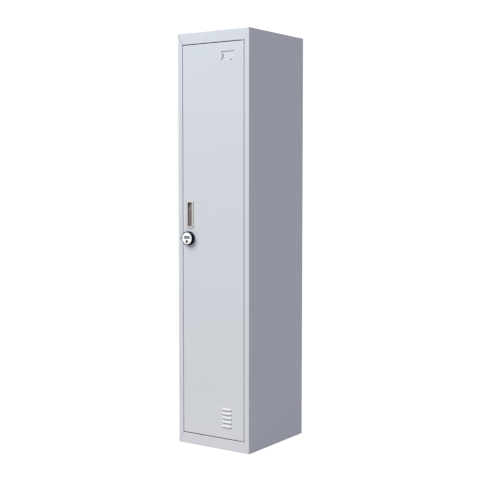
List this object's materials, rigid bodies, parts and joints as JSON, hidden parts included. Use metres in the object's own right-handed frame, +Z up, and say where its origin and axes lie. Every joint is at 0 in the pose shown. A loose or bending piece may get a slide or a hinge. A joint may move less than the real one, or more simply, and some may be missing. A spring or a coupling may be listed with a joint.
{
  "type": "locker cabinet",
  "caption": "Tall narrow steel locker with a flush pivoted door, recessed pull, round combination lock, louvres, card holder, hat shelf and coat rail.",
  "frame": {"origin": "on the ground under the middle of the overall bounding box, lock included; the sheet-metal front face is the plane y = -0.215 and the back face y = +0.235", "axes": "+Z up; the door faces -Y; +X to the right as the door is faced, so the door's pivots are at +X and its lock at -X"},
  "size_m": [0.385, 0.47, 1.85],
  "materials": {
    "grey_paint": "light cool grey baked paint, fine texture, semi-gloss",
    "zinc_plated_steel": "bright zinc plating",
    "chrome_tube": "bright chrome plating",
    "satin_steel": "bright satin",
    "dark_brass": "dulled brass",
    "beige_plastic": "satin moulded plastic",
    "black_plastic": "satin moulded plastic",
    "wheel_plastic": "smooth plastic with raised-off digits",
    "white_nylon": "natural nylon",
    "black_rubber": "matt"
  },
  "bodies": {
    "cabinet": {"left_side_panel": "grey_paint", "right_side_panel": "grey_paint", "back_panel": "grey_paint", "roof_panel": "grey_paint", "floor_panel": "grey_paint", "hat_shelf": "grey_paint", "coat_rail": "chrome_tube", "glide_front_left": "black_plastic", "shelf_bracket_front_left": "grey_paint", "shelf_screw_front_left": "zinc_plated_steel", "shelf_nut_front_left": "zinc_plated_steel", "glide_rear_left": "black_plastic", "shelf_bracket_rear_left": "grey_paint", "shelf_screw_rear_left": "zinc_plated_steel", "shelf_nut_rear_left": "zinc_plated_steel", "glide_front_right": "black_plastic", "shelf_bracket_front_right": "grey_paint", "shelf_screw_front_right": "zinc_plated_steel", "shelf_nut_front_right": "zinc_plated_steel", "glide_rear_right": "black_plastic", "shelf_bracket_rear_right": "grey_paint", "shelf_screw_rear_right": "zinc_plated_steel", "shelf_nut_rear_right": "zinc_plated_steel", "rail_bracket_left": "zinc_plated_steel", "rail_bracket_right": "zinc_plated_steel", "hinge_plate_upper": "zinc_plated_steel", "hinge_plate_lower": "zinc_plated_steel", "frame_bush_upper": "white_nylon", "pivot_pin_lower": "zinc_plated_steel", "pivot_washer_lower": "white_nylon", "strike_plate": "zinc_plated_steel", "door_bumper_1": "black_rubber", "door_bumper_2": "black_rubber", "door_bumper_3": "black_rubber"},
    "door": {"door_skin": "grey_paint", "door_stiffener": "grey_paint", "pull_handle": "beige_plastic", "pull_retainer": "zinc_plated_steel", "door_bush_upper": "white_nylon", "door_bush_lower": "white_nylon", "bolt_bracket": "zinc_plated_steel", "bolt_spring": "zinc_plated_steel", "lock_base": "black_plastic", "lock_washer": "zinc_plated_steel", "lock_nut": "zinc_plated_steel"},
    "pivot_bolt": {"pivot_bolt": "zinc_plated_steel"},
    "lock_knob": {"knob_body": "black_plastic", "knob_face": "satin_steel", "wheel_axle": "zinc_plated_steel", "lock_spindle": "zinc_plated_steel", "lock_cam": "zinc_plated_steel", "cam_screw": "zinc_plated_steel"},
    "key_plug": {"key_plug": "dark_brass"},
    "digit_wheel_1": {"digit_wheel_1": "wheel_plastic"},
    "digit_wheel_2": {"digit_wheel_2": "wheel_plastic"},
    "digit_wheel_3": {"digit_wheel_3": "wheel_plastic"},
    "digit_wheel_4": {"digit_wheel_4": "wheel_plastic"}
  },
  "joints": [
    {"name": "door_swing", "type": "hinge", "parent": "cabinet", "child": "door", "pos_m": [0.1555, -0.209, 0.925], "axis": [0, 0, 1], "range_deg": [0, 110]},
    {"name": "pivot_bolt_slide", "type": "slide", "parent": "door", "child": "pivot_bolt", "axis": [0, 0, 1], "range_m": [-0.01, 0], "stiffness_N_per_m": 400, "springref_m": 0.008, "deforming": ["bolt_spring"]},
    {"name": "lock_turn", "type": "hinge", "parent": "door", "child": "lock_knob", "pos_m": [-0.1305, -0.215, 0.938], "axis": [0, 1, 0], "range_deg": [0, 90]},
    {"name": "key_turn", "type": "hinge", "parent": "lock_knob", "child": "key_plug", "pos_m": [-0.1305, -0.228, 0.924], "axis": [0, 1, 0], "range_deg": [0, 90]},
    {"name": "digit_wheel_1_spin", "type": "hinge", "parent": "lock_knob", "child": "digit_wheel_1", "pos_m": [-0.1416, -0.2287, 0.9425], "axis": [1, 0, 0], "continuous": true},
    {"name": "digit_wheel_2_spin", "type": "hinge", "parent": "lock_knob", "child": "digit_wheel_2", "pos_m": [-0.1342, -0.2287, 0.9425], "axis": [1, 0, 0], "continuous": true},
    {"name": "digit_wheel_3_spin", "type": "hinge", "parent": "lock_knob", "child": "digit_wheel_3", "pos_m": [-0.1268, -0.2287, 0.9425], "axis": [1, 0, 0], "continuous": true},
    {"name": "digit_wheel_4_spin", "type": "hinge", "parent": "lock_knob", "child": "digit_wheel_4", "pos_m": [-0.1194, -0.2287, 0.9425], "axis": [1, 0, 0], "continuous": true}
  ]
}
